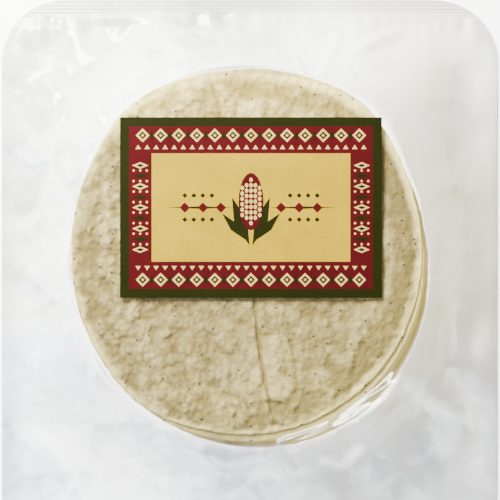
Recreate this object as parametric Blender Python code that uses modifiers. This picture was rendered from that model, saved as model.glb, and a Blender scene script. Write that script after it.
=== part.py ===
"""A stack of small corn tortillas sealed in a clear pouch, with a paper label on top.

The pouch lies on its flat underside. Its film is drawn over the round stack, falls
past the stack's edge in pleats that run outwards, and ends in a thin welded margin.
Metres, +Z up, +Y towards the end of the pouch that has the wide heat seal. The origin
is at the middle of the pouch's underside.
"""

import math

import bmesh
import bpy

# Pouch outline
POUCH_WIDTH = 0.172
POUCH_LENGTH = 0.194
CORNER_RADIUS = 0.021
END_CROWN = 0.002  # the middle of each end stands this much further out than its corners
SEAL_WIDTH = 0.006  # flat welded margin, all round
SEAL_THICKNESS = 0.0012
SEAL_WAVE = 0.0016  # most that the margin swells between its low spots

# Stack inside the pouch, which sets where the film stands high
STACK_DIAMETER = 0.122  # out to the edge of the tortillas that stick out furthest
STACK_HEIGHT = 0.030
STACK_CENTRE = (-0.0008, 0.0089)
SHOULDER = 0.001  # the film begins to fall this far inside the stack's edge
SHOULDER_ROUNDING = 0.08  # share of the fall over which the film bends downwards
FALL_STEEPNESS = 2.0  # above 1, the film hugs the stack's side and flattens further out
SWELL_HEIGHT = 0.0004  # the top tortilla is this uneven, either way
SWELLS = ((0.045, 0.3, 0.55), (0.031, 2.2, 0.45))  # wavelength, heading, share

# Folds: how many go round the stack, each one's share of the height, and its turn
PLEAT_HEIGHT = 0.0021
PLEATS = ((9, 0.40, 0.6), (15, 0.34, 2.1), (26, 0.26, 4.4))
MARGIN_WAVES = ((5, 0.6, 1.2), (11, 0.4, 3.3))

# Label
LABEL_WIDTH = 0.087
LABEL_DEPTH = 0.060
LABEL_CENTRE = (0.0003, 0.0235)
LABEL_THICKNESS = 0.00025
LABEL_GAP = 0.0006  # between the label's back and the film

# Mesh fineness
SPOKES = 128
FLAT_RINGS = (0.2, 0.4, 0.58, 0.74, 0.88, 1.0)  # shares of the radius where the fall begins
FALL_RINGS = 12
RING_BIAS = 1.4  # above 1, the rings lie closer together where the film begins to fall
LABEL_CELLS = (24, 17)


def clear_scene():
    for obj in list(bpy.data.objects):
        bpy.data.objects.remove(obj, do_unlink=True)


def make_material(name, colour, roughness):
    material = bpy.data.materials.new(name)
    material.use_nodes = True
    shader = material.node_tree.nodes["Principled BSDF"]
    shader.inputs["Base Color"].default_value = (*colour, 1.0)
    shader.inputs["Roughness"].default_value = roughness
    shader.inputs["Metallic"].default_value = 0.0
    return material


def outside_pouch(x, y):
    """How far a point lies outside the pouch's rounded outline; negative inside it."""
    half_width = POUCH_WIDTH / 2
    half_length = POUCH_LENGTH / 2 - END_CROWN * (x / half_width) ** 2
    across = abs(x) - (half_width - CORNER_RADIUS)
    along = abs(y) - (half_length - CORNER_RADIUS)
    corner = math.hypot(max(across, 0.0), max(along, 0.0))
    return corner + min(max(across, along), 0.0) - CORNER_RADIUS


def outline_reach(angle):
    """Distance from the stack's centre to the pouch's outline in one direction."""
    near, far = 0.0, POUCH_LENGTH
    while far - near > 1e-6:
        middle = (near + far) / 2
        x = STACK_CENTRE[0] + middle * math.cos(angle)
        y = STACK_CENTRE[1] + middle * math.sin(angle)
        if outside_pouch(x, y) < 0.0:
            near = middle
        else:
            far = middle
    return near


def ripple(angle, waves):
    """A sum of waves round the stack, between -1 and 1."""
    return sum(share * math.cos(count * angle + turn) for count, share, turn in waves)


def swell(x, y):
    """Unevenness of the top tortilla, between -1 and 1."""
    total = 0.0
    for wavelength, heading, share in SWELLS:
        along = x * math.cos(heading) + y * math.sin(heading)
        total += share * math.cos(2.0 * math.pi * along / wavelength)
    return total


def share_fallen(fall):
    """How much of its height the film has lost at a share of the way to the margin."""
    rounding = SHOULDER_ROUNDING
    bent = math.hypot(fall, rounding) - rounding
    bent /= math.hypot(1.0, rounding) - rounding
    return 1.0 - (1.0 - bent) ** FALL_STEEPNESS


def film_height(x, y):
    """Height of the film's outer face above the underside."""
    dx, dy = x - STACK_CENTRE[0], y - STACK_CENTRE[1]
    angle = math.atan2(dy, dx)
    fall_start = STACK_DIAMETER / 2 - SHOULDER
    fall_end = outline_reach(angle) - SEAL_WIDTH
    fall = (math.hypot(dx, dy) - fall_start) / (fall_end - fall_start)
    fall = min(max(fall, 0.0), 1.0)
    margin = SEAL_THICKNESS + SEAL_WAVE * (0.5 + 0.5 * ripple(angle, MARGIN_WAVES))
    top = STACK_HEIGHT - SWELL_HEIGHT * (1.0 - swell(x, y))
    pleat = PLEAT_HEIGHT * ripple(angle, PLEATS) * math.sin(math.pi * fall) ** 2
    return margin + (top - margin) * (1.0 - share_fallen(fall)) + pleat


def ring_distances(angle):
    """Where one spoke's points lie, from the stack's centre out to the outline."""
    fall_start = STACK_DIAMETER / 2 - SHOULDER
    outline = outline_reach(angle)
    fall_length = outline - SEAL_WIDTH - fall_start
    flat = [share * fall_start for share in FLAT_RINGS]
    steps = [((i + 1) / FALL_RINGS) ** RING_BIAS for i in range(FALL_RINGS)]
    falling = [fall_start + fall_length * step for step in steps]
    return flat + falling + [outline]


def place_ring(verts, ring):
    for vert in verts:
        angle = math.atan2(vert.co.y - STACK_CENTRE[1], vert.co.x - STACK_CENTRE[0])
        distance = ring_distances(angle)[ring]
        vert.co.x = STACK_CENTRE[0] + distance * math.cos(angle)
        vert.co.y = STACK_CENTRE[1] + distance * math.sin(angle)
        vert.co.z = film_height(vert.co.x, vert.co.y)


def extrude_rim(bm):
    """Extrudes the open rim once and gives its new points."""
    rim = [edge for edge in bm.edges if edge.is_boundary]
    made = bmesh.ops.extrude_edge_only(bm, edges=rim)["geom"]
    return [item for item in made if isinstance(item, bmesh.types.BMVert)]


def add_object(name, bm, material, collection):
    mesh = bpy.data.meshes.new(name)
    bm.to_mesh(mesh)
    bm.free()
    mesh.materials.append(material)
    obj = bpy.data.objects.new(name, mesh)
    collection.objects.link(obj)
    return obj


def build_bag(collection, material):
    """The filled pouch as one body: a fan over the stack, rings down to the margin."""
    bm = bmesh.new()
    bmesh.ops.create_circle(
        bm, cap_ends=True, cap_tris=True, segments=SPOKES, radius=STACK_DIAMETER / 10
    )
    bmesh.ops.translate(bm, verts=bm.verts, vec=(*STACK_CENTRE, 0.0))
    place_ring([vert for vert in bm.verts if vert.is_boundary], 0)
    for vert in bm.verts:
        vert.co.z = film_height(vert.co.x, vert.co.y)
    for ring in range(1, len(ring_distances(0.0))):
        place_ring(extrude_rim(bm), ring)
    for vert in extrude_rim(bm):
        vert.co.z = 0.0
    bmesh.ops.contextual_create(bm, geom=[edge for edge in bm.edges if edge.is_boundary])
    bmesh.ops.recalc_face_normals(bm, faces=bm.faces)
    bag = add_object("bag", bm, material, collection)
    bag.data.shade_smooth()
    bag.data.set_sharp_from_angle(angle=math.radians(50))


def build_label(collection, material):
    """The paper label: a thin sheet that follows the film under it."""
    bm = bmesh.new()
    bmesh.ops.create_grid(bm, x_segments=LABEL_CELLS[0], y_segments=LABEL_CELLS[1], size=0.5)
    bmesh.ops.scale(bm, verts=bm.verts, vec=(LABEL_WIDTH, LABEL_DEPTH, 1.0))
    bmesh.ops.translate(bm, verts=bm.verts, vec=(*LABEL_CENTRE, 0.0))
    for vert in bm.verts:
        vert.co.z = film_height(vert.co.x, vert.co.y) + LABEL_GAP
    label = add_object("label", bm, material, collection)
    sheet = label.modifiers.new("Thickness", "SOLIDIFY")
    sheet.thickness = LABEL_THICKNESS
    sheet.offset = 1.0


def main():
    clear_scene()
    collection = bpy.data.collections.new("corn_tortilla_pack")
    bpy.context.scene.collection.children.link(collection)
    film = make_material("clear_film", (0.86, 0.87, 0.86), 0.2)
    paper = make_material("label_paper", (0.42, 0.12, 0.09), 0.45)
    build_bag(collection, film)
    build_label(collection, paper)


main()
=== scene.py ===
import math

import bpy
import numpy as np
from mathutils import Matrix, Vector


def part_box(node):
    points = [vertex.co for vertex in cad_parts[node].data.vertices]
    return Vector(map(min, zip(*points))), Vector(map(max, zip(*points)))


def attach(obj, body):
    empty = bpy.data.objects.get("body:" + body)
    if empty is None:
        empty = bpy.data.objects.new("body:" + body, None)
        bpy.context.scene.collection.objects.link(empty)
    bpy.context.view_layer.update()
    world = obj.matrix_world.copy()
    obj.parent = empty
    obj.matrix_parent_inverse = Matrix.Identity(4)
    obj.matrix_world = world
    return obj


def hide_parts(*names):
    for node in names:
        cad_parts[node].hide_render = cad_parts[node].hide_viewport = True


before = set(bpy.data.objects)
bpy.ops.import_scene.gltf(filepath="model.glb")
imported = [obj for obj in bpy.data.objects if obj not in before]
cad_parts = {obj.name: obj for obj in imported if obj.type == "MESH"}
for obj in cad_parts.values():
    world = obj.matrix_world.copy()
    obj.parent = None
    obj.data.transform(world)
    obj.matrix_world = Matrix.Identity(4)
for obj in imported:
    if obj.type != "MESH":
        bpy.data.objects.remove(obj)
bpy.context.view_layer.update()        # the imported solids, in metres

# Corn tortillas in a clear heat-sealed pouch with a printed paper label.
# +Z is up, +Y points to the pouch's wide seal, the pouch lies on z = 0.

bagLow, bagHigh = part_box("bag")
labelLow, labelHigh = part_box("label")
mm = 0.001

stackCentre = (-0.8 * mm, 8.9 * mm)  # middle of the round stack, as in the solid model


def hexColour(code, alpha=1.0):
    # sRGB hex to the linear values that sockets take
    channels = [int(code[i:i + 2], 16) / 255 for i in (0, 2, 4)]
    linear = [c / 12.92 if c <= 0.04045 else ((c + 0.055) / 1.055) ** 2.4 for c in channels]
    return (*linear, alpha)


def clearSelection():
    bpy.ops.object.select_all(action="DESELECT")


def easeStep(value):
    value = np.clip(value, 0, 1)
    return value * value * (3 - 2 * value)


def softNoise(x, y, size, seed):
    # rounded random hills about size metres apart, roughly between -1 and 1
    turns = np.random.RandomState(seed).uniform(0, 2 * math.pi, (64, 64))
    u, v = x / size + 400.3, y / size + 400.7
    i, j = np.floor(u).astype(int), np.floor(v).astype(int)
    fu, fv = u - i, v - j

    def corner(a, b):
        turn = turns[(i + a) % 64, (j + b) % 64]
        return np.cos(turn) * (fu - a) + np.sin(turn) * (fv - b)

    su, sv = fu * fu * (3 - 2 * fu), fv * fv * (3 - 2 * fv)
    near = corner(0, 0) * (1 - su) + corner(1, 0) * su
    far = corner(0, 1) * (1 - su) + corner(1, 1) * su
    return 1.7 * (near * (1 - sv) + far * sv)


def facets(x, y, size, seed, even):
    # heights of flat facets with straight ridges between them, or one even value a facet: -1 to 1
    heights = np.random.RandomState(seed).uniform(-1, 1, (64, 64))
    u, v = x / size - 0.577 * y / size + 400.3, 1.155 * y / size + 400.7
    i, j = np.floor(u).astype(int), np.floor(v).astype(int)
    fu, fv = u - i, v - j
    half = (fu + fv >= 1).astype(int)
    if even:
        return heights[(7 * i + 31 * half) % 64, (5 * j + 17 * half) % 64]

    def corner(a, b):
        return heights[(i + a) % 64, (j + b) % 64]

    lower = corner(0, 0) * (1 - fu - fv) + corner(1, 0) * fu + corner(0, 1) * fv
    upper = corner(1, 1) * (fu + fv - 1) + corner(0, 1) * (1 - fu) + corner(1, 0) * (1 - fv)
    return np.where(half == 0, lower, upper)


def crumple(x, y, size, seed, even=False):
    # facets of uneven size: coarser facets push the finer ones about
    push = 0.45 * size
    bentX = x + push * facets(x, y, 1.9 * size, seed + 1, False)
    bentY = y + push * facets(y, x, 2.3 * size, seed + 2, False)
    turn = 0.7 * seed
    turnedX = bentX * math.cos(turn) - bentY * math.sin(turn)
    turnedY = bentX * math.sin(turn) + bentY * math.cos(turn)
    return facets(turnedX, turnedY, size, seed, even)


def domes(x, y, size, seed):
    # rounded lumps of uneven width about size metres apart, between 0 and 1
    draw = np.random.RandomState(seed).uniform(0, 1, (4, 64, 64))
    u, v = x / size + 400, y / size + 400
    i, j = np.floor(u).astype(int), np.floor(v).astype(int)
    height = np.zeros(x.shape)
    for a in (-1, 0, 1):
        for b in (-1, 0, 1):
            spotX, spotY, width, rise = draw[:, (i + a) % 64, (j + b) % 64]
            away = np.hypot(u - i - a - spotX, v - j - b - spotY) / (0.3 + 0.45 * width)
            height = np.maximum(height, (0.35 + 0.65 * rise) * np.clip(1 - away * away, 0, 1) ** 0.7)
    return height


def rollGrid(name, spokes, rings):
    # a grid to be rolled into a round: columns become spokes, rows become rings
    clearSelection()
    bpy.ops.mesh.primitive_grid_add(x_subdivisions=spokes, y_subdivisions=rings, size=2)
    piece = bpy.context.object
    piece.name = name
    piece.data.name = name
    points = np.zeros(len(piece.data.vertices) * 3)
    piece.data.vertices.foreach_get("co", points)
    flat = points.reshape(-1, 3)
    turn = (flat[:, 0] + 1) * math.pi
    row = (flat[:, 1] + 1) / 2
    return piece, turn, row


def shapePiece(piece, x, y, z):
    points = np.stack([x, y, z], axis=1)
    piece.data.vertices.foreach_set("co", points.ravel())
    piece.data.update()


def weldPiece(piece):
    # closes the seam and the poles, and turns all faces outwards
    clearSelection()
    bpy.context.view_layer.objects.active = piece
    piece.select_set(True)
    bpy.ops.object.mode_set(mode="EDIT")
    bpy.ops.mesh.select_all(action="SELECT")
    bpy.ops.mesh.remove_doubles(threshold=0.000002)
    bpy.ops.mesh.normals_make_consistent(inside=False)
    bpy.ops.object.mode_set(mode="OBJECT")
    bpy.ops.object.shade_smooth()


def keepValues(piece, name, values):
    # stores one number a point, for a material to read
    layer = piece.data.attributes.new(name, "FLOAT", "POINT")
    layer.data.foreach_set("value", np.asarray(values, dtype=np.float32))


def newMaterial(name):
    material = bpy.data.materials.new(name)
    material.use_nodes = True
    return material, material.node_tree, material.node_tree.nodes["Principled BSDF"]


def addNode(tree, kind, settings=None, inputs=None):
    # adds a node, sets its properties and fills or links its sockets
    node = tree.nodes.new(kind)
    for name, value in (settings or {}).items():
        setattr(node, name, value)
    for socket, value in (inputs or {}).items():
        if isinstance(value, bpy.types.NodeSocket):
            tree.links.new(value, node.inputs[socket])
        else:
            node.inputs[socket].default_value = value
    return node


def finishPiece(piece, material, slotName, *replaced):
    piece.data.materials.append(material)
    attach(piece, "root")
    if replaced:
        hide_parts(*replaced)


cameraPlace = {
    "height": 714 * mm,
    "middle": (0.0, 9.4 * mm),
    "seenWidth": 173.5 * mm,  # of the floor
    "sensor": 36.0,
}

lamps = {
    "window": {"at": (-0.16, 0.26, 0.24), "size": (0.17, 0.17), "watts": 8.9, "colour": "FFFDF8",
               "target": (0.0, 0.0, 0.02)},
}
sky = {"bright": "F0F6FF", "above": "54565A", "dim": "D8C9A0", "strength": 2.2,
       "brightWay": (-0.85, -0.53, 0)}
floorGlow = 3.6


def aimAt(thing, target):
    away = np.array(thing.location) - np.array(target)
    flatLength = math.hypot(away[0], away[1])
    thing.rotation_euler = (math.atan2(flatLength, away[2]), 0.0, math.atan2(away[0], -away[1]))


def makeCamera():
    clearSelection()
    x, y = cameraPlace["middle"]
    bpy.ops.object.camera_add(location=(x, y, cameraPlace["height"]), rotation=(0, 0, 0))
    camera = bpy.context.object
    camera.data.sensor_width = cameraPlace["sensor"]
    camera.data.lens = cameraPlace["sensor"] * cameraPlace["height"] / cameraPlace["seenWidth"]
    camera.data.clip_start = 0.01
    bpy.context.scene.camera = camera


def makeLamps():
    for name, lamp in lamps.items():
        clearSelection()
        bpy.ops.object.light_add(type="AREA", location=lamp["at"])
        light = bpy.context.object
        light.name = name
        light.data.shape = "RECTANGLE"
        light.data.size, light.data.size_y = lamp["size"]
        light.data.energy = lamp["watts"]
        light.data.color = hexColour(lamp["colour"])[:3]
        aimAt(light, lamp["target"])
    world = bpy.data.worlds.new("studio")
    world.use_nodes = True
    tree = world.node_tree
    background = tree.nodes["Background"]
    background.inputs["Strength"].default_value = sky["strength"]
    heading = addNode(tree, "ShaderNodeTexCoord").outputs["Generated"]
    toward = addNode(tree, "ShaderNodeVectorMath", {"operation": "DOT_PRODUCT"},
                     {0: heading, 1: sky["brightWay"]})
    share = addNode(tree, "ShaderNodeMapRange", None,
                    {"Value": toward.outputs["Value"], "From Min": -1.0})
    tone = addNode(tree, "ShaderNodeValToRGB", None, {"Fac": share.outputs[0]})
    tone.color_ramp.elements[0].color = hexColour(sky["dim"])
    tone.color_ramp.elements[1].color = hexColour(sky["bright"])
    tone.color_ramp.elements.new(0.5).color = hexColour(sky["above"])
    tree.links.new(tone.outputs["Color"], background.inputs["Color"])
    bpy.context.scene.world = world


def makeFloor():
    clearSelection()
    bpy.ops.mesh.primitive_plane_add(size=4.0, location=(0, 0, -0.2 * mm))
    floor = bpy.context.object
    floor.name = "floor"
    material, tree, shader = newMaterial("White studio table")
    shader.inputs["Base Color"].default_value = hexColour("F4F4F3")
    shader.inputs["Roughness"].default_value = 0.8
    shader.inputs["Emission Color"].default_value = hexColour("FFFFFF")
    shader.inputs["Emission Strength"].default_value = floorGlow
    floor.data.materials.append(material)


tortilla = {
    "count": 18,
    "radius": 60 * mm,
    "thickness": 1.50 * mm,
    "stackBottom": 0.5 * mm,
    "stackTop": 29.0 * mm,
    "edgeRounding": 0.5 * mm,
    "rimDroop": 0.55 * mm,  # the uppermost one hangs down along its edge
    "rimCurl": 0.7 * mm,  # the next ones curl up where they stick out on the right
    "bulges": [(52, 2.6 * mm), (128, 2.4 * mm), (234, 1.8 * mm)],  # heading in degrees, rise
}

# The upper tortillas as they lie: shift across and along, stretch across and along, in mm
upperShifts = [
    {"shift": (-0.4, 0.0), "stretch": (-1.3, 1.0)},
    {"shift": (0.3, -2.9), "stretch": (-1.2, 0.6)},
    {"shift": (0.9, -2.2), "stretch": (-1.2, 0.0)},
    {"shift": (1.6, -3.4), "stretch": (-2.0, 0.3)},
    {"shift": (2.4, -4.2), "stretch": (-2.6, 0.0)},
]
# the rest slid on together, to the right and nearer
lowerShift = {"shift": (3.6, -6.5), "stretch": (-2.4, -0.3)}

# Creases across the top tortilla, from the stack's centre, in mm, with depth and width
creases = [
    {"depth": 0.45, "width": 0.62,
     "path": [(-12.8, 59.2), (-11.3, 53.9), (-9.9, 49.7), (-8.6, 42.0), (-4.5, 18.0), (1.0, -6.0),
              (2.3, -15.5), (3.3, -26.3), (4.3, -34.9), (5.9, -44.0), (8.1, -52.7), (8.9, -58.3)]},
    {"depth": 0.22, "width": 0.7,
     "path": [(14.3, -29.8), (16.1, -40.0), (16.4, -46.1), (15.1, -50.2), (12.8, -51.7), (10.8, -50.7)]},
    {"depth": 0.18, "width": 0.6, "path": [(-20.1, -17.1), (-18.6, -21.1), (-17.5, -24.2)]},
    {"depth": 0.30, "width": 0.7, "path": [(-44.0, -29.3), (-39.9, -28.6), (-37.4, -28.3)]},
    {"depth": 0.26, "width": 0.6, "path": [(3.8, -27.8), (8.4, -27.8), (10.4, -27.3)]},
    {"depth": 0.18, "width": 0.6, "path": [(37.2, -30.8), (40.3, -33.6)]},
    {"depth": 0.25, "width": 0.7, "path": [(34.0, 47.0), (36.7, 45.0)]},
    {"depth": 0.18, "width": 0.6, "path": [(-1.3, -49.2), (0.3, -52.7)]},
]

# The large blisters, from the stack's centre: place, half width and half length, rise, in mm
blisters = [
    {"at": (-46.5, 20.0), "half": (3.0, 6.0), "rise": 0.45},
    {"at": (-47.5, 7.3), "half": (3.6, 6.5), "rise": 0.6},
    {"at": (-47.0, -4.5), "half": (3.4, 5.0), "rise": 0.5},
    {"at": (-42.5, -22.5), "half": (4.2, 4.4), "rise": 0.4},
    {"at": (-40.5, -34.0), "half": (4.0, 4.6), "rise": 0.4},
    {"at": (-20.5, -52.0), "half": (4.5, 4.0), "rise": 0.3},
    {"at": (8.0, -36.0), "half": (3.6, 6.4), "rise": 0.3},
    {"at": (1.5, 47.0), "half": (5.0, 4.0), "rise": 0.35},
    {"at": (-20.0, 50.0), "half": (5.4, 3.6), "rise": 0.35},
    {"at": (24.0, 44.0), "half": (5.0, 3.4), "rise": 0.3},
]


def distanceToPath(x, y, path):
    # distance from each point to the line through the path's points, in metres
    anchors = np.array(path) * mm
    nearest = np.full(x.shape, 1.0)
    for start, end in zip(anchors[:-1], anchors[1:]):
        run = end - start
        along = ((x - start[0]) * run[0] + (y - start[1]) * run[1]) / (run @ run)
        along = np.clip(along, 0, 1)
        offX, offY = x - start[0] - along * run[0], y - start[1] - along * run[1]
        nearest = np.minimum(nearest, np.hypot(offX, offY))
    return nearest


def tortillaLie(fromTop):
    # how far one tortilla lies off the stack's centre, and how much it is out of round, in metres
    if fromTop < len(upperShifts):
        lie = upperShifts[fromTop]
        return np.array(lie["shift"]) * mm, np.array(lie["stretch"]) * mm
    draw = np.random.RandomState(500 + fromTop)
    shift = np.array(lowerShift["shift"]) + draw.uniform(-0.5, 0.3, 2)
    stretch = np.array(lowerShift["stretch"]) + draw.uniform(-0.4, 0.2, 2)
    return shift * mm, stretch * mm


def radiusOf(fromTop, turn):
    # a tortilla's radius at each turn, in metres, before its stretch
    bulge = np.zeros(turn.shape)
    for heading, rise in tortilla["bulges"]:
        bulge = bulge + rise * np.exp((np.cos(turn - math.radians(heading)) - 1) / 0.05)
    return tortilla["radius"] + bulge * (1.0 if fromTop == 0 else 0.4)


def reliefOfTop(x, y):
    # height of the top face above its mean level, in metres, and how deep in a crease each point lies
    ragged = 0.25 * mm * softNoise(x, y, 1.5 * mm, 32)
    u = x + 0.6 * mm * softNoise(x, y, 6 * mm, 31) + ragged
    v = 0.78 * y + 0.6 * mm * softNoise(y, x, 6 * mm, 33) - ragged
    relief = 0.26 * softNoise(x, y, 20 * mm, 11) + 0.20 * softNoise(u, v, 5 * mm, 16)
    relief = relief + 0.40 * domes(u, v, 6.4 * mm, 12) + 0.46 * domes(u, v, 3.4 * mm, 13)
    relief = relief + 0.30 * domes(v, u, 1.9 * mm, 14) + 0.12 * softNoise(x, y, 1.0 * mm, 15) - 0.58
    outward = np.clip((np.hypot(x, y) - 30 * mm) / (25 * mm), 0, 1)
    relief = relief * (0.85 + 0.35 * outward + 0.2 * np.clip((-x - 10 * mm) / (30 * mm), 0, 1))
    relief = relief * (1 - 0.35 * easeStep((x - 28 * mm) / (20 * mm)) * easeStep((y + 35 * mm) / (15 * mm)))
    for blister in blisters:
        offX = (u - blister["at"][0] * mm) / (blister["half"][0] * mm)
        offY = (y - blister["at"][1] * mm) / (blister["half"][1] * mm)
        relief = relief + blister["rise"] * np.clip(1 - offX * offX - offY * offY, 0, 1) ** 0.6
    relief = relief * mm
    inCrease = np.zeros(x.shape)
    for crease in creases:
        away = distanceToPath(x, y, crease["path"]) / (crease["width"] * mm)
        groove = np.exp(-away * away)
        relief = relief - crease["depth"] * mm * (1.3 * groove - 0.3 * np.exp(-away * away / 9))
        inCrease = np.maximum(inCrease, groove * crease["depth"] / 0.45)
    return relief, inCrease


def makeTortilla(fromTop, material):
    pitch = (tortilla["stackTop"] - tortilla["stackBottom"]) / tortilla["count"]
    bottom = tortilla["stackTop"] - (fromTop + 1) * pitch
    shift, stretch = tortillaLie(fromTop)
    isTop = fromTop == 0
    spokes, topRings, lowRings = 240, 12, 4
    if fromTop < 6:
        spokes, topRings, lowRings = 360, 26, 6
    if isTop:
        spokes, topRings, lowRings = 620, 128, 8
    topReach = np.linspace(0, 1, topRings)
    edgeTurn = np.linspace(0, math.pi, 9)[1:-1]
    lowReach = np.linspace(1, 0, lowRings)
    rings = len(topReach) + len(edgeTurn) + len(lowReach) - 1
    piece, turn, row = rollGrid(f"tortilla{fromTop + 1:02d}", spokes, rings)
    ring = np.rint(row * rings).astype(int)

    rounding = tortilla["edgeRounding"] / tortilla["radius"]
    reach = np.concatenate([topReach * (1 - rounding), 1 - rounding + rounding * np.sin(edgeTurn),
                            lowReach * (1 - rounding)])[ring]
    level = np.concatenate([np.ones(topRings), 0.5 + 0.5 * np.cos(edgeTurn), np.zeros(lowRings)])[ring]

    ragX, ragY = 40 * mm * np.cos(turn), 40 * mm * np.sin(turn)
    broadRag = 0.4 if 0 < fromTop < 6 else 0.2
    rag = broadRag * softNoise(ragX, ragY, 14 * mm, 40 + fromTop)
    rag = rag + 0.18 * softNoise(ragX, ragY, 1.6 * mm, 80 + fromTop)
    rag = rag + 0.12 * softNoise(ragX, ragY, 0.7 * mm, 120 + fromTop)
    radius = radiusOf(fromTop, turn) + mm * rag * np.clip((reach - 0.8) / 0.2, 0, 1)
    x = (radius + stretch[0]) * reach * np.cos(turn) + shift[0]
    y = (radius + stretch[1]) * reach * np.sin(turn) + shift[1]

    thin = 1 - 0.35 * np.clip((reach - 0.92) / 0.08, 0, 1) ** 2  # the edge bakes thinner
    nearEdge = np.clip((reach - 0.6) / 0.4, 0, 1)
    wave = 0.05 * mm * softNoise(ragX, ragY, 11 * mm, 160 + fromTop) * nearEdge
    right = easeStep(0.3 + np.cos(turn - 0.1))
    relief, inCrease = np.zeros(x.shape), np.zeros(x.shape)
    if isTop:
        relief, inCrease = reliefOfTop(x, y)
        relief = relief * np.clip((1 - reach) / 0.03 + 0.3, 0, 1)
        droop = np.clip((reach - 0.88) / 0.12, 0, 1) ** 1.5
        wave = wave - tortilla["rimDroop"] * droop * (1 - 0.8 * right)
    elif fromTop < 6:
        relief = 0.05 * mm * softNoise(x, y, 2.4 * mm, 200 + fromTop)
        wave = wave + tortilla["rimCurl"] * easeStep((reach - 0.955) / 0.03) * right
    z = bottom + wave + tortilla["thickness"] * thin * level + relief * level

    shapePiece(piece, x + stackCentre[0], y + stackCentre[1], z)
    edgeNoise = 0.012 * softNoise(x, y, 4 * mm, 18)
    # a darker band of dough inside the rim, strongest on the right
    darkerDough = easeStep((reach + edgeNoise - 0.8) / 0.07) * (1 - easeStep((reach - 0.94) / 0.02))
    darkerDough = darkerDough * (0.34 * right + 0.12 * easeStep(0.3 - np.cos(turn)))
    # paleness of the dough with painted light: paler towards the top, where the light falls stronger, and towards
    # the lower right, evening out the lamp's falloff; paler along the bottom; with a random patchy paleness
    paleAndPaintedLight = 0.85 * easeStep((y - 30 * mm) / (24 * mm)) + 0.2 * softNoise(x, y, 24 * mm, 17)
    paleAndPaintedLight = paleAndPaintedLight + 0.42 * easeStep((x + 10 * mm) / (50 * mm)) * easeStep((-y - 5 * mm) / (20 * mm))
    paleAndPaintedLight = paleAndPaintedLight + 0.15 * easeStep((-y - 35 * mm) / (15 * mm))
    # painted highlight and shade: raised dough lighter, hollows and creases darker, as light and shade fall on the
    # relief
    tone = 0.5 + relief / (2.0 * mm) - (0.36 + 0.3 * paleAndPaintedLight) * inCrease - darkerDough
    tone = tone - 0.1 * np.exp(-((y + 22 * mm) / (9 * mm)) ** 2)  # darker in a band across the middle
    keepValues(piece, "tone", tone)
    keepValues(piece, "paleAndPaintedLight", np.clip(paleAndPaintedLight, 0, 1))
    # a paler rim, partly the dough's own unbaked colour and partly painted light: stronger and wider on the right,
    # wider at the top
    if isTop:
        far = easeStep((y - 35 * mm) / (20 * mm))
        rimPaleAndLit = easeStep((reach + edgeNoise - 0.955 + 0.012 * right + 0.035 * far) / (0.045 + 0.02 * far))
    else:
        rimPaleAndLit = easeStep((reach + edgeNoise - 0.982 + 0.035 * right) / 0.02)  # the ledge below stays brown
    keepValues(piece, "rimPaleAndLit", rimPaleAndLit * (0.75 + 0.25 * right))
    weldPiece(piece)
    finishPiece(piece, material, "tortilla")
    return piece


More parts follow.
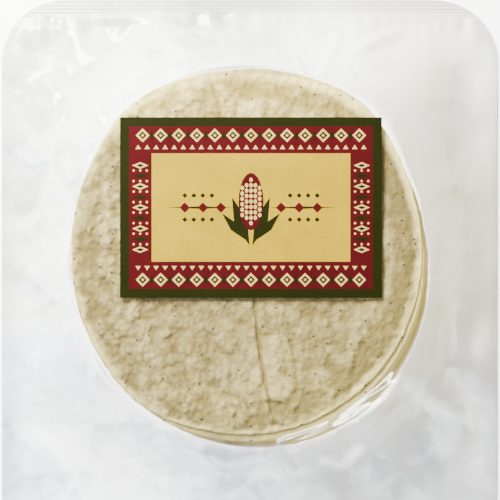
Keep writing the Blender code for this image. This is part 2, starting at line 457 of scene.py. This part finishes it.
def cornMaterial():
    # Baked corn dough, matt and floury: cream where raised and khaki in the hollows and creases, a painted
    # highlight and shade of the relief; a pale rim, partly its own unbaked colour and partly painted light
    material, tree, shader = newMaterial("Baked corn tortilla")
    place = addNode(tree, "ShaderNodeTexCoord").outputs["Object"]
    patches = addNode(tree, "ShaderNodeTexNoise", None,
                      {"Vector": place, "Scale": 1 / (3.8 * mm), "Detail": 6.0, "Roughness": 0.75}).outputs["Fac"]
    # the tone carries the painted highlight and shade of the relief and its creases
    height = addNode(tree, "ShaderNodeAttribute", {"attribute_name": "tone"}).outputs["Fac"]
    paleAndPaintedLight = addNode(tree, "ShaderNodeAttribute", {"attribute_name": "paleAndPaintedLight"}).outputs["Fac"]
    rimPaleAndLit = addNode(tree, "ShaderNodeAttribute", {"attribute_name": "rimPaleAndLit"}).outputs["Fac"]
    blend = addNode(tree, "ShaderNodeMath", {"operation": "MULTIPLY_ADD"},
                    {0: patches, 1: 1.3, 2: -0.65})
    tone = addNode(tree, "ShaderNodeMath", {"operation": "ADD", "use_clamp": True},
                   {0: height, 1: blend.outputs[0]})
    darkerDough = addNode(tree, "ShaderNodeValToRGB", None, {"Fac": tone.outputs[0]})
    darkerDough.color_ramp.elements[0].position = 0.1
    darkerDough.color_ramp.elements[0].color = hexColour("7C6C38")
    darkerDough.color_ramp.elements[1].position = 0.85
    darkerDough.color_ramp.elements[1].color = hexColour("BBAA74")
    floury = addNode(tree, "ShaderNodeValToRGB", None, {"Fac": tone.outputs[0]})
    floury.color_ramp.elements[0].position = 0.1
    floury.color_ramp.elements[0].color = hexColour("9F8B46")
    floury.color_ramp.elements[1].position = 0.85
    floury.color_ramp.elements[1].color = hexColour("EAD98C")
    dough = addNode(tree, "ShaderNodeMix", {"data_type": "RGBA"},
                    {"Factor": paleAndPaintedLight, "A": darkerDough.outputs["Color"], "B": floury.outputs["Color"]})
    rimmed = addNode(tree, "ShaderNodeMix", {"data_type": "RGBA"},
                     {"Factor": rimPaleAndLit, "A": dough.outputs["Result"], "B": hexColour("EEDC8C")})
    specks = addNode(tree, "ShaderNodeTexVoronoi", {"voronoi_dimensions": "2D"},
                     {"Vector": place, "Scale": 1 / (4.2 * mm)})
    chance = addNode(tree, "ShaderNodeSeparateColor", None, {"Color": specks.outputs["Color"]})
    rare = addNode(tree, "ShaderNodeMath", {"operation": "LESS_THAN"}, {0: chance.outputs["Red"], 1: 0.2})
    dot = addNode(tree, "ShaderNodeMapRange", None,
                  {"Value": specks.outputs["Distance"], "From Min": 0.11, "From Max": 0.06})
    speck = addNode(tree, "ShaderNodeMath", {"operation": "MULTIPLY"}, {0: rare.outputs[0], 1: dot.outputs[0]})
    speckled = addNode(tree, "ShaderNodeMix", {"data_type": "RGBA"},
                       {"Factor": speck.outputs[0], "A": rimmed.outputs["Result"], "B": hexColour("3C3214")})
    tree.links.new(speckled.outputs["Result"], shader.inputs["Base Color"])
    shader.inputs["Roughness"].default_value = 0.78
    shader.inputs["Specular IOR Level"].default_value = 0.25
    grain = addNode(tree, "ShaderNodeTexNoise", None,
                    {"Vector": place, "Scale": 1 / (0.9 * mm), "Detail": 4.0, "Roughness": 0.65})
    bump = addNode(tree, "ShaderNodeBump", None,
                   {"Height": grain.outputs["Fac"], "Strength": 0.7, "Distance": 0.5 * mm})
    tree.links.new(bump.outputs["Normal"], shader.inputs["Normal"])
    return material


film = {
    "cornerRadius": 21 * mm,
    "endCrown": 2 * mm,
    "sideSeal": 1.5 * mm,
    "endSeal": 6 * mm,
    "top": 29.75 * mm,
    "shoulder": 22.0 * mm,  # height of the film over the lower tortillas where they stick out
    "ease": 0.6 * mm,  # it starts to fall this far outside the tortillas' mean edge
    "rimLevel": 0.9 * mm,
    "spokes": 760,
    "flatRings": 12,
    "fallRings": 84,
    "sealRings": 3,
    "backRings": 8,
}

# Folds that stand out, from the stack's centre, in mm: a raised ridge along a path, with more or less
# milk and a painted tint along it, warmer for painted warm light, cooler for painted cool light and grey shade
folds = [
    {"path": [(-68.6, 57.6), (-50.2, 45.4)], "rise": 2.2, "width": 3.6, "milk": 0.1, "paintedWarmth": 0},
    {"path": [(-68.6, 57.6), (-65.5, 47.4), (-63.1, 31.1), (-60.4, 24.3)],
     "rise": 2.2, "width": 3.6, "milk": 0.1, "paintedWarmth": 0},
    {"path": [(-64.0, 51.0), (-54.0, 39.0)], "rise": 0, "width": 9.0, "milk": -0.6, "paintedWarmth": 0},
    {"path": [(-82.5, 34.5), (-74.0, 29.4), (-68.9, 31.1)], "rise": 1.3, "width": 2.0, "milk": 0, "paintedWarmth": -0.35},
    {"path": [(-72.0, -11.5), (-64.0, -17.0)], "rise": 1.2, "width": 2.0, "milk": 0, "paintedWarmth": -0.35},
    {"path": [(-66.0, 20.0), (-64.0, -4.0)], "rise": 0.8, "width": 6.0, "milk": -0.4, "paintedWarmth": 0},
    {"path": [(-72.0, -62.0), (-40.0, -78.0)], "rise": 0, "width": 30.0, "milk": -0.5, "paintedWarmth": -0.2},
    {"path": [(-31.2, -60.7), (-17.2, -66.8), (-8.4, -75.0)], "rise": 2.2, "width": 2.2, "milk": 0.2, "paintedWarmth": 0},
    {"path": [(-33.9, -62.4), (-34.9, -83.8)], "rise": 1.6, "width": 3.2, "milk": 0, "paintedWarmth": 0},
    {"path": [(-12.0, -67.0), (-5.0, -69.0), (1.5, -67.0)],
     "rise": -1.0, "width": 5.0, "milk": 0.2, "paintedWarmth": -0.4},
    {"path": [(-31.2, -60.7), (-48.0, -72.0)], "rise": 1.4, "width": 3.4, "milk": 0, "paintedWarmth": 0},
    {"path": [(-30.0, -58.5), (-18.0, -65.0), (-4.0, -68.0), (6.0, -67.6)],
     "rise": 1.8, "width": 1.5, "milk": 0.1, "paintedWarmth": 0},
    {"path": [(10.6, -63.4), (26.6, -56.6), (42.6, -46.8), (51.6, -42.0)],
     "rise": 0.7, "width": 1.1, "milk": 0.5, "paintedWarmth": 0},
    {"path": [(10.4, -63.4), (10.2, -66.6), (14.2, -69.4), (18.1, -67.2)],
     "rise": 0.8, "width": 1.2, "milk": 0.5, "paintedWarmth": 0},
    {"path": [(26.2, -63.9), (35.0, -58.4), (43.0, -53.6), (52.2, -42.6)],
     "rise": 1.0, "width": 1.4, "milk": 0.5, "paintedWarmth": 0},
    {"path": [(18.1, -67.2), (26.2, -65.0), (33.0, -66.0)], "rise": 1.2, "width": 2.0, "milk": 0.2, "paintedWarmth": 0},
    {"path": [(30.0, -58.8), (41.0, -51.0)], "rise": 0.6, "width": 0.9, "milk": 0.4, "paintedWarmth": 0},
    {"path": [(15.0, -65.0), (30.0, -60.5), (42.0, -52.0), (50.0, -44.0)],
     "rise": 3.6, "width": 4.6, "milk": -0.1, "paintedWarmth": 0.2},
    {"path": [(22.0, -66.5), (34.0, -61.5), (37.0, -57.0)], "rise": 1.4, "width": 1.4, "milk": 0.4, "paintedWarmth": 0},
    {"path": [(38.0, -58.0), (43.0, -51.0), (52.0, -46.0)], "rise": 1.2, "width": 1.3, "milk": 0.4, "paintedWarmth": 0},
    {"path": [(47.0, -54.5), (50.0, -51.0)], "rise": -1.2, "width": 3.4, "milk": -0.1, "paintedWarmth": 0.5},
    {"path": [(10.3, -66.8), (15.8, -73.9)], "rise": 1.4, "width": 1.4, "milk": 0.3, "paintedWarmth": 0},
    {"path": [(26.0, -71.5), (32.1, -72.9), (38.0, -68.0)], "rise": 1.2, "width": 3.0, "milk": -0.3, "paintedWarmth": 0},
    {"path": [(52.1, -44.0), (62.0, -52.0), (76.0, -60.0)], "rise": 1.8, "width": 4.0, "milk": -0.1, "paintedWarmth": 0},
    {"path": [(58.0, -62.0), (64.0, -74.0)], "rise": 1.4, "width": 5.0, "milk": 0.1, "paintedWarmth": -0.3},
    {"path": [(70.5, -20.0), (70.5, -34.0)], "rise": 0.6, "width": 6.0, "milk": -0.3, "paintedWarmth": -0.2},
    {"path": [(80.0, -34.0), (82.0, -28.0)], "rise": 0.6, "width": 6.0, "milk": -0.25, "paintedWarmth": 0},
    {"path": [(61.0, 14.0), (70.0, 20.0)], "rise": -1.4, "width": 2.8, "milk": -0.2, "paintedWarmth": 0},
    {"path": [(31.1, 73.9), (24.9, 59.7)], "rise": 1.4, "width": 2.4, "milk": -0.2, "paintedWarmth": 0},
    {"path": [(16.1, 65.1), (18.5, 59.7)], "rise": 1.2, "width": 1.4, "milk": 0.2, "paintedWarmth": 0},
    {"path": [(33.8, 62.4), (35.5, 58.6)], "rise": 1.0, "width": 1.4, "milk": 0.3, "paintedWarmth": 0},
    {"path": [(36.5, 68.5), (50.8, 75.6)], "rise": 1.4, "width": 3.0, "milk": 0, "paintedWarmth": 0},
    {"path": [(63.4, 51.5), (74.9, 54.2)], "rise": 0.6, "width": 4.0, "milk": -0.1, "paintedWarmth": 0},
]


def outlineReach(turn):
    # distance from the stack's centre to the pouch's rounded outline, for each turn
    halfWidth = (bagHigh.x - bagLow.x) / 2
    halfLength = (bagHigh.y - bagLow.y) / 2
    radius = film["cornerRadius"]
    near, far = np.zeros(turn.shape), np.full(turn.shape, 2 * halfLength)
    for _ in range(30):
        middle = (near + far) / 2
        x = stackCentre[0] + middle * np.cos(turn)
        y = stackCentre[1] + middle * np.sin(turn)
        across = np.abs(x) - (halfWidth - radius)
        along = np.abs(y) - (halfLength - film["endCrown"] * (x / halfWidth) ** 2 - radius)
        corner = np.hypot(np.maximum(across, 0), np.maximum(along, 0))
        outside = corner + np.minimum(np.maximum(across, along), 0) - radius > 0
        near, far = np.where(outside, near, middle), np.where(outside, middle, far)
    return near


def stackReach(turn, first, last):
    # how far some of the tortillas reach from the stack's centre, for each turn
    reach = np.zeros(turn.shape)
    for fromTop in range(first, last):
        shift, stretch = tortillaLie(fromTop)
        ahead = shift[0] * np.cos(turn) + shift[1] * np.sin(turn)
        wide = stretch[0] * np.cos(turn) ** 2 + stretch[1] * np.sin(turn) ** 2
        reach = np.maximum(reach, radiusOf(fromTop, turn) + ahead + wide)
    return reach - 0.3 * mm


def fallFrom(top, low, distance, start, end, steepness):
    # a film's height where it falls from top at start to low at end, steep at first
    fall = np.clip((distance - start) / (end - start), 0, 1)
    bent = (np.hypot(fall, 0.04) - 0.04) / (math.hypot(1, 0.04) - 0.04)
    return low + (top - low) * (1 - bent) ** steepness


def filmShape(turn, distance, outline):
    # height of the front film, its milk (0 clear), painted tint (0 painted grey shade, 0.5 plain, 1 painted
    # warm light off the tortillas), painted shade, where it is a smooth wall about the stack, and where it is
    # sealed
    x, y = distance * np.cos(turn), distance * np.sin(turn)
    upper = stackReach(turn, 0, len(upperShifts))
    lower = stackReach(turn, len(upperShifts), tortilla["count"])
    end = outline - film["sideSeal"]
    edge = np.maximum(upper, lower - 1.2 * mm)
    fall = np.clip((distance - edge) / (end - edge), 0, 1)
    hug = np.exp(-((turn - math.radians(305)) / math.radians(34)) ** 2)  # drawn in along the lower right
    hug = hug + 0.6 * np.exp(-((turn - math.radians(250)) / math.radians(22)) ** 2)
    steepness = 2.1 + 3.4 * hug
    margin = film["rimLevel"] + 1.8 * mm * (0.5 + 0.3 * np.cos(5 * turn + 1.2) + 0.2 * np.cos(11 * turn + 3.3))
    pleats = 0.40 * np.cos(9 * turn + 0.6) + 0.34 * np.cos(15 * turn + 2.1) + 0.26 * np.cos(26 * turn + 4.4)
    z = fallFrom(film["top"], margin, distance, upper + film["ease"], end, steepness)
    z = np.maximum(z, fallFrom(film["shoulder"], margin, distance, lower + film["ease"], end, steepness))
    z = z + 1.6 * mm * pleats * np.sin(math.pi * fall) ** 2

    worldX, worldY = x + stackCentre[0], y + stackCentre[1]
    fromEnd = bagHigh.y - film["endCrown"] * (worldX / bagHigh.x) ** 2 - np.abs(worldY)
    fromSide = bagHigh.x - np.abs(worldX)
    fromRim = outline - distance
    inside = easeStep((fromEnd - film["endSeal"]) / (4 * mm))
    inside = inside * easeStep(np.minimum(fromSide, fromRim) / (11 * mm))
    middle, half = (labelLow + labelHigh) / 2, (labelHigh - labelLow) / 2
    offLabelX = np.maximum(np.abs(worldX - middle.x) - half.x, 0)
    offLabelY = np.maximum(np.abs(worldY - middle.y) - half.y, 0)
    unpressed = easeStep(np.hypot(offLabelX, offLabelY) / (4 * mm))  # the label holds the film flat
    loose = easeStep(fall / 0.04) * inside * unpressed
    coarse, middling = crumple(x, y, 25 * mm, 3), crumple(x, y, 11.5 * mm, 7)
    small = crumple(x, y, 5.2 * mm, 5)
    low = easeStep((20 * mm - y) / (60 * mm))
    leftward = easeStep((30 * mm - x) / (60 * mm))
    topward = easeStep((y - 50 * mm) / (20 * mm))
    calm = (1 - leftward) * (0.6 + 0.4 * easeStep((y + 44 * mm) / (8 * mm)))  # the right lies smoother
    slack = (0.8 + 0.3 * leftward * low) * (1 - 0.2 * topward) * (1 - 0.45 * calm)
    z = z + mm * loose * slack * (3.2 * coarse + 2.2 * middling + 0.7 * small)
    z = np.where(distance < lower + film["ease"], np.maximum(z, film["shoulder"]), z)
    midway = 4 * leftward * (1 - leftward) * topward
    veil = 0.80 - 0.10 * leftward + 0.16 * leftward * topward - 0.22 * (1 - leftward) * topward + 0.1 * midway
    panes = 0.4 * crumple(x, y, 25 * mm, 3, True) + 0.4 * crumple(x, y, 11.5 * mm, 7, True)
    panes = panes + 0.3 * crumple(x, y, 5.2 * mm, 5, True)  # one facet lets through more than the next, and is painted lighter or darker than the next
    milk = veil * (1 + 0.15 * middling + 0.15 * coarse + (0.3 + 0.15 * leftward) * (1 - 0.6 * calm) * panes)
    early = 0.2 * mm + 0.5 * mm * easeStep((40 * mm - y) / (30 * mm))
    milk = milk * easeStep((distance - edge + early) / (1.2 * mm))
    foldPaintedWarmth = np.zeros(x.shape)
    for fold in folds:
        away = distanceToPath(x, y, fold["path"]) / (fold["width"] * mm)
        ridge = np.clip(1 - away, 0, 1) * easeStep((distance - upper + 2 * mm) / (1 * mm))
        z = z + fold["rise"] * mm * ridge * inside
        milk = milk + fold["milk"] * ridge
        foldPaintedWarmth = foldPaintedWarmth + fold["paintedWarmth"] * ridge

    sideways = easeStep(fromSide / (12 * mm))
    gather = easeStep(1 - (fromEnd - film["endSeal"]) / (13 * mm)) * easeStep(fall / 0.4) * sideways
    z = z + 1.2 * mm * gather * softNoise(x, 0.25 * y, 4.6 * mm, 21)
    flat = easeStep((film["endSeal"] + 1 * mm - fromEnd) / (2.5 * mm))
    z = z * (1 - flat) + (film["rimLevel"] + 0.4 * mm + 0.3 * mm * softNoise(x, y, 30 * mm, 23)) * flat
    z = film["rimLevel"] + (z - film["rimLevel"]) * easeStep((fromRim + 1 * mm) / (4 * mm))

    # painted warm light off the tortillas on the film right of the stack, where it lies in the stack's shadow
    paintedWarmth = easeStep((y + 46 * mm + 5 * mm * middling) / (3 * mm)) * easeStep((x - 30 * mm) / (24 * mm))
    paintedWarmth = paintedWarmth * (0.6 + 0.4 * easeStep((y + 42 * mm) / (24 * mm)) - 0.6 * easeStep((y - 20 * mm) / (26 * mm)))
    paintedWarmth = paintedWarmth * (1 + 0.2 * coarse) * (1 - 0.55 * easeStep((x - 66 * mm) / (14 * mm)))
    # painted cool light below the stack, going to painted grey shade on some facets
    paintedCool = easeStep((-24 * mm - y + 5 * mm * coarse) / (10 * mm)) * (1 - paintedWarmth)
    paintedCool = paintedCool * np.clip(0.1 + 0.2 * leftward - (0.06 + 0.16 * leftward) * middling, 0, 0.9)
    # painted shade of the film's body, varying by place: darker at the top middle, lighter at the lower left, and
    # from facet to facet
    shade = 0.14 + topward * (0.24 * leftward - 0.09) + 0.22 * midway - 0.12 * leftward * low + 0.04 * paintedWarmth
    shade = shade - 0.06 * easeStep((x - 68 * mm) / (14 * mm)) + 0.05 * low * (1 - leftward)
    shade = shade + (0.12 + 0.2 * leftward) * (1 - 0.6 * calm) * panes + 0.04 * middling
    # painted tint: warm light, cool light and grey shade over the film's plain colour
    paintedTint = 0.5 + 0.5 * easeStep(fall / 0.05) * (paintedWarmth - paintedCool) + foldPaintedWarmth
    milk = np.minimum(milk + 0.35 * np.clip(paintedWarmth, 0, 1) * easeStep(fall / 0.05), 0.94 - 0.1 * calm)
    wall = easeStep(1.3 - (distance - edge) / (12 * mm))
    z = np.maximum(z, 0.5 * mm)
    return z, np.clip(milk, 0, 1), np.clip(paintedTint, 0, 1), np.clip(shade, 0, 0.5), wall, flat


def makePouch(material):
    rings = film["flatRings"] + film["fallRings"] + film["sealRings"] + film["backRings"]
    piece, turn, row = rollGrid("pouchFilm", film["spokes"], rings)
    ring = np.rint(row * rings).astype(int)
    outline = outlineReach(turn)
    start = 57 * mm
    end = outline - film["sideSeal"]

    flatEnd = film["flatRings"]
    fallEnd = flatEnd + film["fallRings"]
    sealEnd = fallEnd + film["sealRings"]
    flatShare = np.clip(ring / flatEnd, 0, 1)
    fallShare = np.clip((ring - flatEnd) / film["fallRings"], 0, 1) ** 1.15
    sealShare = np.clip((ring - fallEnd) / film["sealRings"], 0, 1)
    backShare = np.clip((ring - sealEnd) / film["backRings"], 0, 1)
    distance = start * flatShare + (end - start) * fallShare + film["sideSeal"] * sealShare
    frontZ, milk, paintedTint, shade, wall, flat = filmShape(turn, distance, outline)
    distance = distance * (1 - backShare)
    isBack = ring > sealEnd
    z = np.where(isBack, frontZ * np.clip(1 - 4 * backShare, 0, 1) + 0.1 * mm, frontZ)

    shapePiece(piece, stackCentre[0] + distance * np.cos(turn), stackCentre[1] + distance * np.sin(turn), z)
    keepValues(piece, "milk", np.where(isBack, 0.1, milk))
    # painted tint and painted shade of the film's body colour
    keepValues(piece, "paintedTint", np.where(isBack, 0.5, paintedTint))
    keepValues(piece, "light", np.where(isBack, 1.0, 1 - shade))
    keepValues(piece, "wall", np.where(isBack, 0.0, wall))
    keepValues(piece, "seal", np.where(isBack, 0.0, flat))
    weldPiece(piece)
    finishPiece(piece, material, "film", "bag")
    return piece


def filmMaterial():
    # Clear nylon and polythene film: a glossy skin over a body that turns milky where it is crumpled,
    # or seen along its wall, with the fine ribs that the sealing bars press across its ends; the body's colour
    # carries a painted tint of warm light, cool light and grey shade, and painted shade
    ribSpacing = 1.2 * mm
    material, tree, shader = newMaterial("Clear pouch film")
    milk = addNode(tree, "ShaderNodeAttribute", {"attribute_name": "milk"}).outputs["Fac"]
    facing = addNode(tree, "ShaderNodeLayerWeight", None, {"Blend": 0.5}).outputs["Facing"]
    wall = addNode(tree, "ShaderNodeAttribute", {"attribute_name": "wall"}).outputs["Fac"]
    faceOn = addNode(tree, "ShaderNodeMath", {"operation": "MULTIPLY_ADD", "use_clamp": True},
                     {0: facing, 1: -2.6, 2: 1.0})
    cleared = addNode(tree, "ShaderNodeMath", {"operation": "MULTIPLY"}, {0: faceOn.outputs[0], 1: wall})
    kept = addNode(tree, "ShaderNodeMath", {"operation": "MULTIPLY_ADD"},
                   {0: cleared.outputs[0], 1: -0.85, 2: 1.0})
    thick = addNode(tree, "ShaderNodeMath", {"operation": "MULTIPLY"}, {0: milk, 1: kept.outputs[0]})
    share = addNode(tree, "ShaderNodeMath", {"operation": "MULTIPLY_ADD", "use_clamp": True},
                    {0: facing, 1: 0.05, 2: thick.outputs[0]})
    clear = addNode(tree, "ShaderNodeBsdfTransparent", None, {"Color": hexColour("FBFCFC")})
    paintedTint = addNode(tree, "ShaderNodeAttribute", {"attribute_name": "paintedTint"}).outputs["Fac"]
    # painted tint ramp: painted grey shade, painted cool light, the film's plain colour, painted warm light off
    # the tortillas
    tone = addNode(tree, "ShaderNodeValToRGB", None, {"Fac": paintedTint})
    tone.color_ramp.elements[0].color = hexColour("B2B6BE")
    tone.color_ramp.elements[1].color = hexColour("C4B66A")
    tone.color_ramp.elements.new(0.3).color = hexColour("DEE8FF")
    tone.color_ramp.elements.new(0.5).color = hexColour("F4F5F4")
    # painted shade darkens the body colour
    light = addNode(tree, "ShaderNodeAttribute", {"attribute_name": "light"}).outputs["Fac"]
    lit = addNode(tree, "ShaderNodeVectorMath", {"operation": "SCALE"}, {0: tone.outputs["Color"], "Scale": light})
    tree.links.new(lit.outputs[0], shader.inputs["Base Color"])
    shader.inputs["Roughness"].default_value = 0.5
    place = addNode(tree, "ShaderNodeTexCoord").outputs["Object"]
    ribs = addNode(tree, "ShaderNodeTexWave", {"bands_direction": "Y"},
                   {"Vector": place, "Scale": 0.314 / ribSpacing})
    seal = addNode(tree, "ShaderNodeAttribute", {"attribute_name": "seal"}).outputs["Fac"]
    ribbed = addNode(tree, "ShaderNodeMath", {"operation": "MULTIPLY"}, {0: ribs.outputs["Fac"], 1: seal})
    bump = addNode(tree, "ShaderNodeBump", None,
                   {"Height": ribbed.outputs[0], "Strength": 0.7, "Distance": 0.3 * mm})
    tree.links.new(bump.outputs["Normal"], shader.inputs["Normal"])
    body = addNode(tree, "ShaderNodeMixShader", None,
                   {0: share.outputs[0], 1: clear.outputs[0], 2: shader.outputs[0]})
    skin = addNode(tree, "ShaderNodeBsdfGlossy", None,
                   {"Color": hexColour("FFFFFF"), "Roughness": 0.2, "Normal": bump.outputs["Normal"]})
    steep = addNode(tree, "ShaderNodeMath", {"operation": "POWER"}, {0: facing, 1: 5.0})
    mirrored = addNode(tree, "ShaderNodeMath", {"operation": "MULTIPLY_ADD"},
                       {0: steep.outputs[0], 1: 0.6, 2: 0.05})
    mix = addNode(tree, "ShaderNodeMixShader", None,
                  {0: mirrored.outputs[0], 1: body.outputs[0], 2: skin.outputs[0]})
    output = next(node for node in tree.nodes if node.type == "OUTPUT_MATERIAL")
    tree.links.new(mix.outputs[0], output.inputs["Surface"])
    return material


label = {
    "cells": (58, 40),  # of 1.5 mm, so that the printed fields end on a cell's edge
    "border": 3.0 * mm,
    "bandAcross": 10.5 * mm,  # from the label's left and right edges to the middle panel
    "bandAlong": 12.0 * mm,
    "thickness": 0.2 * mm,
    "lift": 0.12 * mm,  # glue line between film and paper
    "inkLift": 0.03 * mm,
    "bendRadius": 3.0 * mm,
}

inks = {"olive": "191B05", "crimson": "3F0A0E", "gold": "9F8410", "cream": "BA9D58"}


def printRow(ink, sides, size, first, step=(0, 1), count=1, turn=0, layer=1):
    # a row of one printed shape: all sizes and places in mm from the label's middle
    return {"ink": ink, "sides": sides, "size": size, "first": first, "step": step, "count": count,
            "turn": turn, "layer": layer}


def plannedPrint():
    rows = []
    for way in (1, -1):  # the two long bands, then the two short ones
        rows.append(printRow("cream", 4, (4.6, 4.6), (-36.0, 24.0 * way), (6.0, 0), 13))
        rows.append(printRow("olive", 4, (2.7, 2.7), (-36.0, 24.0 * way), (6.0, 0), 13, layer=2))
        rows.append(printRow("cream", 4, (1.1, 1.1), (-36.0, 24.0 * way), (6.0, 0), 13, layer=3))
        rows.append(printRow("olive", 4, (1.5, 3.4), (-33.0, 24.0 * way), (6.0, 0), 12))
        rows.append(printRow("cream", 3, (2.1, 1.9), (-37.5, 19.9 * way), (3.0, 0), 26, turn=90 - 90 * way))
        rows.append(printRow("cream", 4, (5.4, 2.2), (36.8 * way, -14.0), (0, 7.0), 5))
        rows.append(printRow("olive", 4, (2.6, 1.1), (36.8 * way, -14.0), (0, 7.0), 5, layer=2))
        rows.append(printRow("olive", 4, (5.4, 1.6), (36.8 * way, -10.5), (0, 7.0), 4))
        for column in (-2.2, 0.0, 2.2):
            rows.append(printRow("cream", 12, (0.8, 0.8), (36.8 * way + column, -12.2), (0, 3.5), 8))

    # an ear of maize on the panel: husk leaves, cob and its kernels, with a rule on each side
    for way in (1, -1):
        rows.append(printRow("olive", 4, (4.6, 17.0), (3.4 * way, -4.6), turn=-20 * way))
        rows.append(printRow("olive", 4, (3.0, 12.0), (5.6 * way, -6.4), turn=-42 * way, layer=2))
        rows.append(printRow("olive", 4, (0.8, 22.0), (17.0 * way, 0.0), turn=90))
        rows.append(printRow("crimson", 4, (3.4, 3.4), (10.0 * way, 0.0), (6.0 * way, 0), 3, layer=2))
        rows.append(printRow("olive", 4, (1.7, 1.7), (13.0 * way, 4.0), (3.0 * way, 0), 4))
        rows.append(printRow("olive", 4, (1.7, 1.7), (13.0 * way, -4.0), (3.0 * way, 0), 4))
    rows.append(printRow("crimson", 24, (8.2, 19.0), (0, 2.0), layer=3))
    for column in range(-2, 3):
        kernels = 9 - 2 * abs(column) + abs(column) // 2
        lowest = 2.0 - 0.9 * (kernels - 1)
        rows.append(printRow("cream", 8, (1.25, 1.5), (1.45 * column, lowest), (0, 1.8), kernels, layer=4))
    return rows


def labelPlace(x, y):
    # where a point of the flat label comes to lie: its corner past the stack's edge bends down
    dx, dy = x - stackCentre[0], y - stackCentre[1]
    distance = np.hypot(dx, dy)
    edge = stackReach(np.arctan2(dy, dx), 0, len(upperShifts)) + film["ease"] + 0.2 * mm
    past = np.maximum(distance - edge, 0)
    bend = past / label["bendRadius"]
    drawnIn = (past - label["bendRadius"] * np.sin(bend)) / distance
    z = film["top"] + label["lift"] - label["bendRadius"] * (1 - np.cos(bend))
    return x - dx * drawnIn, y - dy * drawnIn, z


def paperMaterial(name, ink):
    # Coated label paper, offset printed: an even ink film with faint paper grain and a low satin gloss
    material, tree, shader = newMaterial(name)
    place = addNode(tree, "ShaderNodeTexCoord").outputs["Object"]
    mottle = addNode(tree, "ShaderNodeTexNoise", None,
                     {"Vector": place, "Scale": 1 / (0.7 * mm), "Detail": 3.0})
    cloud = addNode(tree, "ShaderNodeTexNoise", None,
                    {"Vector": place, "Scale": 1 / (9 * mm), "Detail": 4.0, "Roughness": 0.6})
    uneven = addNode(tree, "ShaderNodeMath", {"operation": "MULTIPLY"},
                     {0: mottle.outputs["Fac"], 1: cloud.outputs["Fac"]})
    tone = addNode(tree, "ShaderNodeMapRange", None,
                   {"Value": uneven.outputs[0], "From Min": 0.12, "From Max": 0.38, "To Min": 0.86, "To Max": 1.1})
    shade = addNode(tree, "ShaderNodeVectorMath", {"operation": "SCALE"},
                    {0: hexColour(ink)[:3], "Scale": tone.outputs[0]})
    tree.links.new(shade.outputs[0], shader.inputs["Base Color"])
    shader.inputs["Roughness"].default_value = 0.42
    shader.inputs["Specular IOR Level"].default_value = 0.06
    bump = addNode(tree, "ShaderNodeBump", None,
                   {"Height": mottle.outputs["Fac"], "Strength": 0.12, "Distance": 0.1 * mm})
    tree.links.new(bump.outputs["Normal"], shader.inputs["Normal"])
    return material


def makeLabel():
    middle = (labelLow + labelHigh) / 2
    width, depth = labelHigh.x - labelLow.x, labelHigh.y - labelLow.y
    clearSelection()
    bpy.ops.mesh.primitive_grid_add(x_subdivisions=label["cells"][0], y_subdivisions=label["cells"][1], size=1)
    piece = bpy.context.object
    piece.name = "paperLabel"
    points = np.zeros(len(piece.data.vertices) * 3)
    piece.data.vertices.foreach_get("co", points)
    flat = points.reshape(-1, 3)

    papers = {ink: paperMaterial("Label paper, " + ink, code) for ink, code in inks.items()}
    for ink in ("olive", "crimson", "gold"):
        piece.data.materials.append(papers[ink])
    for face in piece.data.polygons:
        across = width * (0.5 - abs(face.center.x))
        along = depth * (0.5 - abs(face.center.y))
        if across > label["bandAcross"] and along > label["bandAlong"]:
            face.material_index = 2
        elif min(across, along) > label["border"]:
            face.material_index = 1
    shapePiece(piece, *labelPlace(middle.x + width * flat[:, 0], middle.y + depth * flat[:, 1]))
    sheet = piece.modifiers.new("Paper", "SOLIDIFY")
    sheet.thickness = label["thickness"]
    sheet.offset = 1.0
    bpy.ops.object.modifier_apply(modifier=sheet.name)
    bpy.ops.object.shade_smooth_by_angle(angle=math.radians(40))
    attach(piece, "root")
    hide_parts("label")

    shapes = []
    for row in plannedPrint():
        clearSelection()
        bpy.ops.mesh.primitive_circle_add(vertices=row["sides"], radius=0.5, fill_type="NGON")
        shape = bpy.context.object
        shape.scale = (row["size"][0] * mm, row["size"][1] * mm, 1)
        bpy.ops.object.transform_apply(location=False, rotation=False, scale=True)
        shape.rotation_euler.z = math.radians(row["turn"])
        shape.location = (row["first"][0] * mm, row["first"][1] * mm, 0)
        bpy.ops.object.transform_apply(location=True, rotation=True, scale=False)
        repeat = shape.modifiers.new("Row", "ARRAY")
        repeat.use_relative_offset = False
        repeat.use_constant_offset = True
        repeat.constant_offset_displace = (row["step"][0] * mm, row["step"][1] * mm, 0)
        repeat.count = row["count"]
        bpy.ops.object.modifier_apply(modifier=repeat.name)
        shape.data.materials.append(papers[row["ink"]])
        points = np.zeros(len(shape.data.vertices) * 3)
        shape.data.vertices.foreach_get("co", points)
        flat = points.reshape(-1, 3)
        x, y, z = labelPlace(middle.x + flat[:, 0], middle.y + flat[:, 1])
        shapePiece(shape, x, y, z + label["thickness"] + row["layer"] * label["inkLift"])
        shapes.append(shape)
    clearSelection()
    for shape in shapes:
        shape.select_set(True)
    bpy.context.view_layer.objects.active = shapes[0]
    bpy.ops.object.join()
    printed = bpy.context.object
    printed.name = "labelPrint"
    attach(printed, "root")


makeCamera()
makeLamps()
makeFloor()
print("camera, lamps and floor made")

corn = cornMaterial()
for fromTop in range(tortilla["count"]):
    makeTortilla(fromTop, corn)
print("tortillas made")

makePouch(filmMaterial())
print("pouch film made")

makeLabel()
print("label made")
